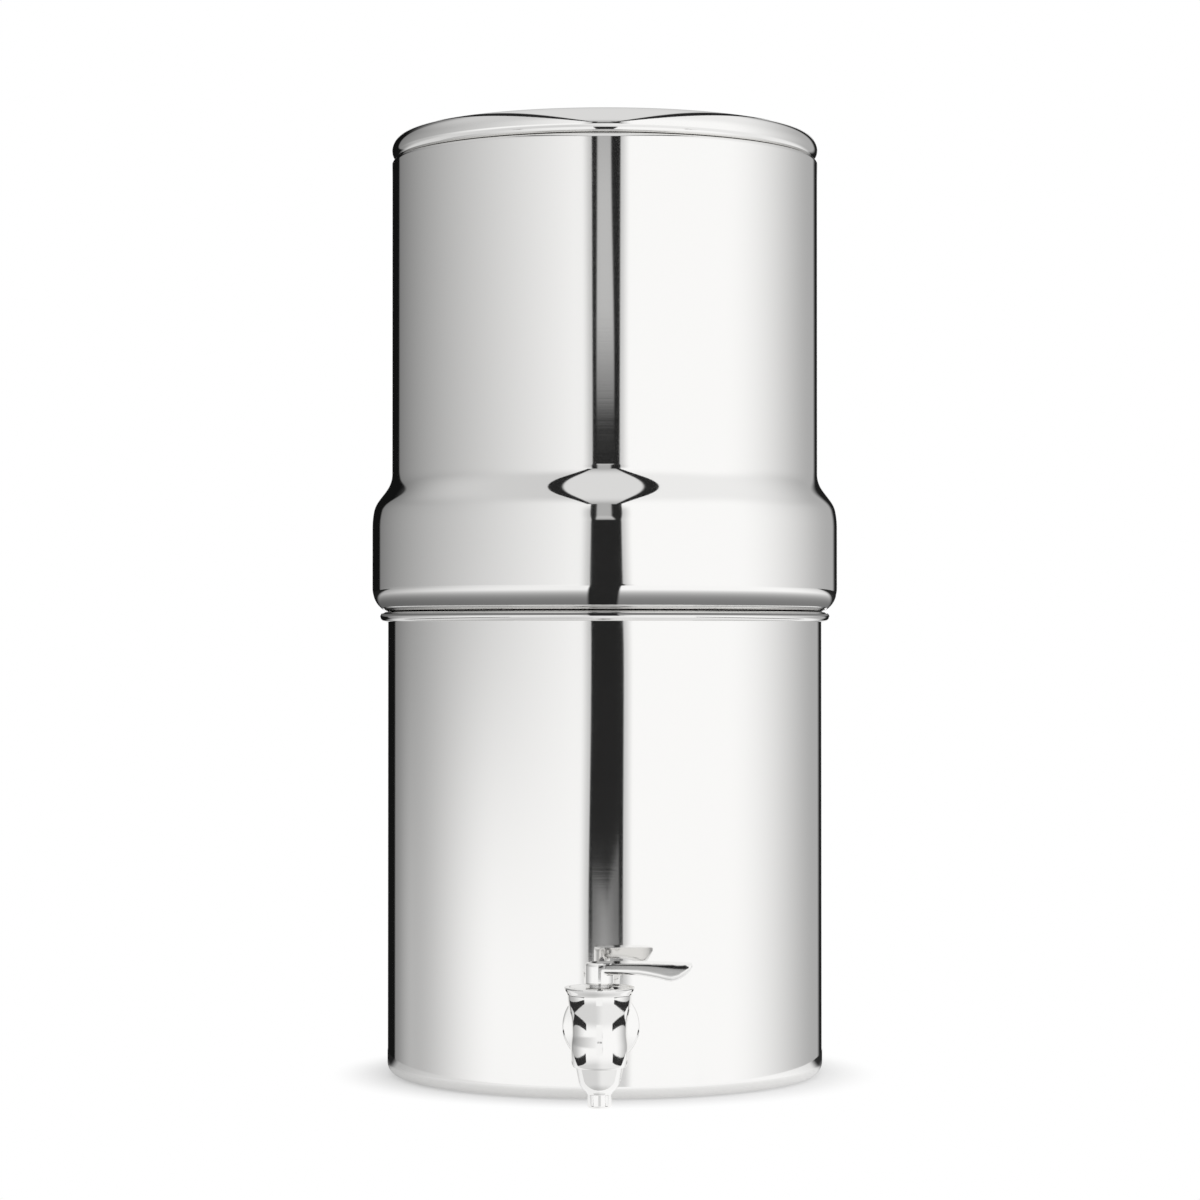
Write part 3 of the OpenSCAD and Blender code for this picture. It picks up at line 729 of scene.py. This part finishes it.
def makeLowerChamber(spec):
    piece = makePiece(turnProfile(spec["profile"]), "lowerChamber")
    drill(piece, *spec["shankHole"], at(0, 0, tapHeight) @ alongY)
    finishPiece(piece, "lower_chamber")


# centres of the leaning shoulder's arcs; outside, a free curve joins the side and the foot
shoulder = {"top": (75.8, 270.745), "side": (101.322, 275.706), "foot": (119, 297.309)}
upperChamber = {
    "profile": [
        ("start", 0, 216.2), ("line", 44, 216.2), ("line", 68, 216.2), ("line", 101.5, 216.2),
        ("arc", 101.5, 220.2, 90), ("line", 105.5, 226.667), ("arc", 107, 226.667, -73.16),
        ("arc", 102.8, 240.545, 73.16), ("line", 115.8, 270.745),
        ("arc", *shoulder["top"], 11), ("arc", *shoulder["side"], 12),
        ("bend", (112.568, 285.042), (108.674, 288.364), (107.033, 292.23)),
        ("arc", *shoulder["foot"], -23), ("line", 106, 451.1), ("arc", 104, 451.1, 260),
        ("line", *onArc((104, 451.1), 1, 260)), ("arc", 104, 451.1, -260),
        ("line", 105, 297.309), ("arc", *shoulder["foot"], 36), ("line", 111.839, 283.347),
        ("arc", *shoulder["side"], -25), ("arc", *shoulder["top"], -11),
        ("line", 114.8, 240.545), ("arc", 102.8, 240.545, -73.16),
        ("arc", 107, 226.667, 73.16), ("line", 104.5, 220.2), ("arc", 101.5, 220.2, -90),
        ("line", 68, 217.2), ("line", 44, 217.2), ("line", 0, 217.2),
    ],
    "mesh": {"segments": 216, "step": 3.2},
    "stemHole": (6.5, 212, 220),
    "stemPlaces": [(56, 0), (0, 56), (-56, 0), (0, -56)],
}


def makeUpperChamber(spec):
    piece = makePiece(turnProfile(spec["profile"], **spec["mesh"]), "upperChamber")
    for x, y in spec["stemPlaces"]:
        drill(piece, *spec["stemHole"], at(x, y, 0))
    finishPiece(piece, "upper_chamber")


crownHalf = 3.529                     # half the angle of the crown's arc
crownCentre = -1131.226
lidCover = {
    "profile": [
        ("start", 0, 468.774), ("arc", 0, crownCentre, -crownHalf),
        ("arc", 98, 457.755, crownHalf - 90), ("arc", 101, 457.755, -90),
        ("line", 101, 453.755), ("arc", 101, 457.755, 90),
        ("arc", 98, 457.755, 90 - crownHalf), ("arc", 0, crownCentre, crownHalf),
    ],
}


def makeLidCover(spec):
    finishPiece(makePiece(turnProfile(spec["profile"]), "lidCover"), "lid_cover")


makeLowerChamber(lowerChamber)
makeUpperChamber(upperChamber)
makeLidCover(lidCover)


tapMesh = {"segments": 160, "step": 6, "support": 0.15}
tapBody = {
    "barrel": [
        ("start", 0, -14.7), ("line", 11, -14.7), ("arc", 11, -13.1, 78),
        ("bend", (12.94, -11.67), (13.15, -8), (13.15, -5)),
        ("bend", (13.15, -2.8), (12.6, -1.2), (12.6, 1)),
        ("bend", (12.6, 4.5), (12.86, 7.5), (13.6, 10.7)),
        ("bend", (14.29, 13.7), (14.65, 16), (14.7, 18.4)),
        ("bend", (14.75, 19.3), (15.9, 20.2), (16.1, 21.6)),
        ("arc", 15.7, 21.6, 90), ("line", 0, 22),
    ],
    "arm": [                          # neck, flange and shank
        ("start", 0, 0), ("line", 10, 0), ("line", 10, 32.5), ("arc", 13, 32.5, -80),
        ("line", 17.008, 36.252), ("arc", 16.8, 37.434, 80), ("line", 18, 38),
        ("line", 8, 38), ("line", 8, 58), ("line", 7, 59), ("line", 0, 59),
    ],
    "barrelHoles": [(8.3, -8, 24), (11.0, 13.5, 24), (13.8, 19.5, 24),   # valve and bonnet
                    (4, -9.6, -7), (6.6, -16, -9.5)],                    # outlet and nozzle
    "armHoles": [(5.9, 0, 11.3), (4, 0, 60)],                            # seal and waterway
}


def makeTapBody(spec):
    piece = makePiece(turnProfile(spec["barrel"], **tapMesh), "tapBody", tapPlace)
    arm = makePiece(turnProfile(spec["arm"], **tapMesh), "arm", tapPlace @ alongY)
    combine(piece, arm, "UNION")
    for hole in spec["barrelHoles"]:
        drill(piece, *hole, tapPlace)
    for hole in spec["armHoles"]:
        drill(piece, *hole, tapPlace @ alongY)
    finishPiece(piece, "tap_body")


tapBonnet = {
    "profile": [
        ("start", 4.6, 13.5), ("line", 10.9, 13.5), ("line", 10.9, 19.5), ("line", 13.7, 19.5),
        ("line", 13.7, 21.7), ("line", 13.4, 22), ("line", 4.6, 22.5), ("line", 4.6, 13.5),
    ],
}


def makeTapBonnet(spec):
    piece = makePiece(turnProfile(spec["profile"], **tapMesh), "tapBonnet", tapPlace)
    finishPiece(piece, "tap_bonnet")


# a socket end with a groove for its seal, a tapered shoulder, a dome and a spout tube
tapNozzle = {
    "bore": 3.8,
    "socket": 6.5, "socketTop": -9.7, "socketBevel": 0.5,
    "groove": 5.1, "grooveTop": -11.2, "grooveFoot": -13.0,
    "shoulder": 10.9, "shoulderTop": -14.7, "taperHeight": 5.8, "taper": 12.6,
    "dome": (1.308, -18.646), "domeRadius": 8.5, "domeEnd": 54.87,
    "spout": 5.7, "spoutStep": 1, "spoutFoot": -31.7, "lip": (4.5, -31.7), "lipRound": 1.2,
}


def makeTapNozzle(spec):
    taper = math.radians(spec["taper"])
    taperEnd = (spec["shoulder"] - spec["taperHeight"] * math.tan(taper),
                spec["shoulderTop"] - spec["taperHeight"])
    domeFoot = spec["dome"][1] - spec["domeRadius"] * math.sin(math.radians(spec["domeEnd"]))
    moves = [
        ("start", spec["bore"], spec["socketTop"]),
        ("line", spec["socket"] - spec["socketBevel"], spec["socketTop"]),
        ("line", spec["socket"], spec["socketTop"] - spec["socketBevel"]),
        ("line", spec["socket"], spec["grooveTop"]), ("line", spec["groove"], spec["grooveTop"]),
        ("line", spec["groove"], spec["grooveFoot"]),
        ("line", spec["socket"], spec["grooveFoot"]),
        ("line", spec["socket"], spec["shoulderTop"]),
        ("line", spec["shoulder"], spec["shoulderTop"]), ("line", *taperEnd),
        ("arc", *spec["dome"], spec["taper"] - spec["domeEnd"]),
        ("line", spec["spout"], domeFoot - spec["spoutStep"]),
        ("line", spec["spout"], spec["spoutFoot"]), ("arc", *spec["lip"], -90),
        ("line", spec["bore"], spec["spoutFoot"] - spec["lipRound"]),
        ("line", spec["bore"], spec["socketTop"]),
    ]
    finishPiece(makePiece(turnProfile(moves, **tapMesh), "tapNozzle", tapPlace), "tap_nozzle")


# a round hub and an arm that flows off it, cast and polished as one
lever = {
    "hub": [("start", 0, 23.2), ("line", 5.9, 23.2), ("arc", 5.9, 23.8, 90),
            ("line", 6.5, 31.8), ("arc", 5.1, 31.8, 90), ("line", 0, 33.2)],
    "hubMesh": {"segments": 128, "step": 6, "support": 0.2},
    # along the arm: distance, top, underside, half width, height of the leaning strip
    "stations": [(-2, 33.1, 28.2, 5.5, 0.4), (1, 33.15, 28.05, 6.38, 0.4),
                 (3, 33.2, 28.0, 6.5, 0.45), (5.5, 33.2, 28.0, 6.58, 0.5),
                 (8, 33.2, 28.0, 6.63, 0.5), (13, 33.2, 27.95, 6.66, 0.55),
                 (18, 33.2, 27.7, 6.66, 0.7), (22.5, 33.18, 27.0, 6.66, 0.9),
                 (27, 33.1, 26.1, 6.66, 1.2), (30.5, 33.0, 25.2, 6.66, 1.5),
                 (32.8, 32.95, 24.9, 6.66, 1.7), (35.5, 32.85, 25.6, 6.6, 1.8),
                 (38.5, 32.75, 27.3, 6.5, 1.8), (41, 32.65, 29.7, 6.3, 1.4),
                 (42.2, 32.5, 31.6, 6.0, 0.4)],
    "underRound": 1.9,
    "underRoundMost": 0.45,           # as a share of the arm's thickness
    "underAngles": (0, 22.5, 45, 67.5, 90),
    "lean": 0.045,
    "faceSlope": 0.001,
    "grain": 0.24,                    # size of the mesh's faces
    "polishPasses": 6, "polishFactor": 0.5,
    "stemHole": (4.6, 20, 30.3),
    "screwHole": (2.1, 0, 9), "screwHeight": 26.6,
    "sharpAngle": 40,
}


def armRing(bm, spec, distance, top, under, half, strip):
    turn = min(spec["underRound"], spec["underRoundMost"] * (top - under))
    slope = spec["faceSlope"]
    side = [(half - strip * spec["lean"] - slope * (top - under - turn), top),
            (half - slope * (top - strip - under - turn), top - strip)]
    side += [(half - turn + turn * math.cos(math.radians(angle)),
              under + turn - turn * math.sin(math.radians(angle)))
             for angle in spec["underAngles"]]
    outline = side + [(-y, z) for y, z in reversed(side)]
    ring = bmesh.ops.create_circle(bm, segments=len(outline), radius=1)["verts"]
    for vert, (y, z) in zip(ring, outline):
        vert.co = (distance, y, z)
    return list({edge for vert in ring for edge in vert.link_edges})


def polish(piece, passes, factor):
    bm = bmesh.new()
    bm.from_mesh(piece.data)
    for _ in range(passes):
        bmesh.ops.smooth_vert(bm, verts=bm.verts, factor=factor, use_axis_x=True,
                              use_axis_y=True, use_axis_z=True)
    bm.to_mesh(piece.data)
    bm.free()


def makeLever(spec):
    bm = bmesh.new()
    rings = [armRing(bm, spec, *station) for station in spec["stations"]]
    for first, second in zip(rings, rings[1:]):
        bmesh.ops.bridge_loops(bm, edges=first + second)
    bmesh.ops.holes_fill(bm, edges=rings[0] + rings[-1])
    bmesh.ops.recalc_face_normals(bm, faces=bm.faces)
    piece = makePiece(bm, "lever", tapPlace)
    hub = makePiece(turnProfile(spec["hub"], **spec["hubMesh"]), "hub", tapPlace)
    combine(piece, hub, "UNION")
    remesh = piece.modifiers.new("grain", "REMESH")
    remesh.mode, remesh.voxel_size = "VOXEL", spec["grain"] * mm
    applyModifiers(piece)
    polish(piece, spec["polishPasses"], spec["polishFactor"])
    drill(piece, *spec["stemHole"], tapPlace)
    drill(piece, *spec["screwHole"], tapPlace @ at(0, 0, spec["screwHeight"]) @ alongY)
    finishPiece(piece, "lever_handle", spec["sharpAngle"])


makeTapBody(tapBody)
makeTapBonnet(tapBonnet)
makeTapNozzle(tapNozzle)
makeLever(lever)


for name, node in frame["nodes"].items():
    if not node.hide_render:
        node.data.materials.clear()
        node.data.materials.append(materials[slotOf[name]])
print("materials given to the CAD pieces")
